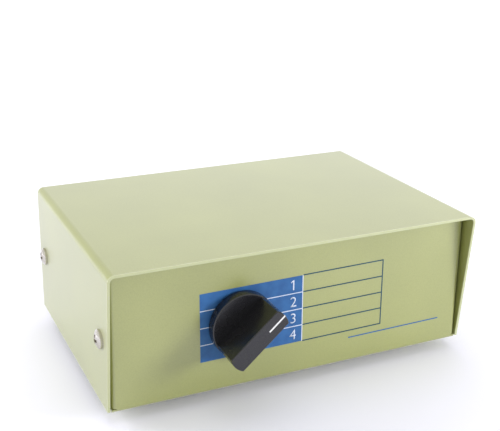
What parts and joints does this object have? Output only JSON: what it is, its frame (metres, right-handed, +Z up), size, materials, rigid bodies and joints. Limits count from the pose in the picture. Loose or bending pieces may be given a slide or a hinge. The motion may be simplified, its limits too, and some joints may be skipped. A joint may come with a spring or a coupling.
{
  "type": "coaxial antenna switch",
  "caption": "Desk-top coaxial antenna selector: folded steel case on rubber feet, skirted pointer knob on the front that turns through its ways, bayonet coaxial jacks on the rear panel.",
  "frame": {"origin": "on the surface that the feet stand on, under the middle of the whole object's box", "axes": "+X to the right as the front panel is faced, +Y to the rear, out of the jacks, +Z up"},
  "size_m": [0.1562, 0.1216, 0.0606],
  "materials": {
    "case_enamel": "semi-gloss pale green enamel on folded steel, fine orange peel",
    "screw_plate": "bright nickel-plated steel",
    "foot_rubber": "matte black rubber",
    "knob_plastic": "satin black moulded phenolic",
    "line_paint": "white paint filling",
    "jack_nickel": "bright nickel-plated brass",
    "jack_ptfe": "white fluoropolymer",
    "contact_gold": "gold-plated bronze",
    "tinned_brass": "tinned brass stamping",
    "switch_brass": "plain brass",
    "wafer_laminate": "brown paper laminate",
    "plated_steel": "zinc-plated steel",
    "print_blue": "blue screen-print ink, for the front label's block",
    "print_white": "white screen-print ink, for the front label's rules and way numbers",
    "print_slate": "dark blue-grey screen-print ink, for the front label's outline",
    "print_black": "black screen-print ink, for the rear panel's numbers and arrow"
  },
  "bodies": {
    "case": {"bushing": "switch_brass", "case_screw_front_left": "screw_plate", "case_screw_front_right": "screw_plate", "case_screw_rear_left": "screw_plate", "case_screw_rear_right": "screw_plate", "cover": "case_enamel", "foot_front_left": "foot_rubber", "foot_front_right": "foot_rubber", "foot_rear_left": "foot_rubber", "foot_rear_right": "foot_rubber", "index_ball": "plated_steel", "index_plate": "plated_steel", "index_spring": "plated_steel", "jack_insulator_1": "jack_ptfe", "jack_insulator_2": "jack_ptfe", "jack_insulator_3": "jack_ptfe", "jack_insulator_4": "jack_ptfe", "jack_insulator_common": "jack_ptfe", "jack_nut_1": "jack_nickel", "jack_nut_2": "jack_nickel", "jack_nut_3": "jack_nickel", "jack_nut_4": "jack_nickel", "jack_nut_common": "jack_nickel", "jack_shell_1": "jack_nickel", "jack_shell_2": "jack_nickel", "jack_shell_3": "jack_nickel", "jack_shell_4": "jack_nickel", "jack_shell_common": "jack_nickel", "jack_socket_1": "contact_gold", "jack_socket_2": "contact_gold", "jack_socket_3": "contact_gold", "jack_socket_4": "contact_gold", "jack_socket_common": "contact_gold", "jack_tag_1": "tinned_brass", "jack_tag_2": "tinned_brass", "jack_tag_3": "tinned_brass", "jack_tag_4": "tinned_brass", "jack_tag_common": "tinned_brass", "lock_washer": "plated_steel", "spacers": "plated_steel", "switch_nut": "plated_steel", "tie_nuts": "plated_steel", "tie_screws": "plated_steel", "tray": "case_enamel", "wafer": "wafer_laminate", "wafer_contacts": "switch_brass"},
    "selector": {"knob": "knob_plastic", "pointer_line": "line_paint", "set_screw": "plated_steel", "shaft": "plated_steel", "shaft_clip": "plated_steel", "index_wheel": "plated_steel", "rotor": "wafer_laminate", "rotor_contact": "switch_brass"}
  },
  "joints": [
    {"name": "knob_turn", "type": "hinge", "parent": "case", "child": "selector", "pos_m": [-0.0243, -0.0434, 0.0315], "axis": [0, 1, 0], "range_deg": [0, 90]}
  ]
}
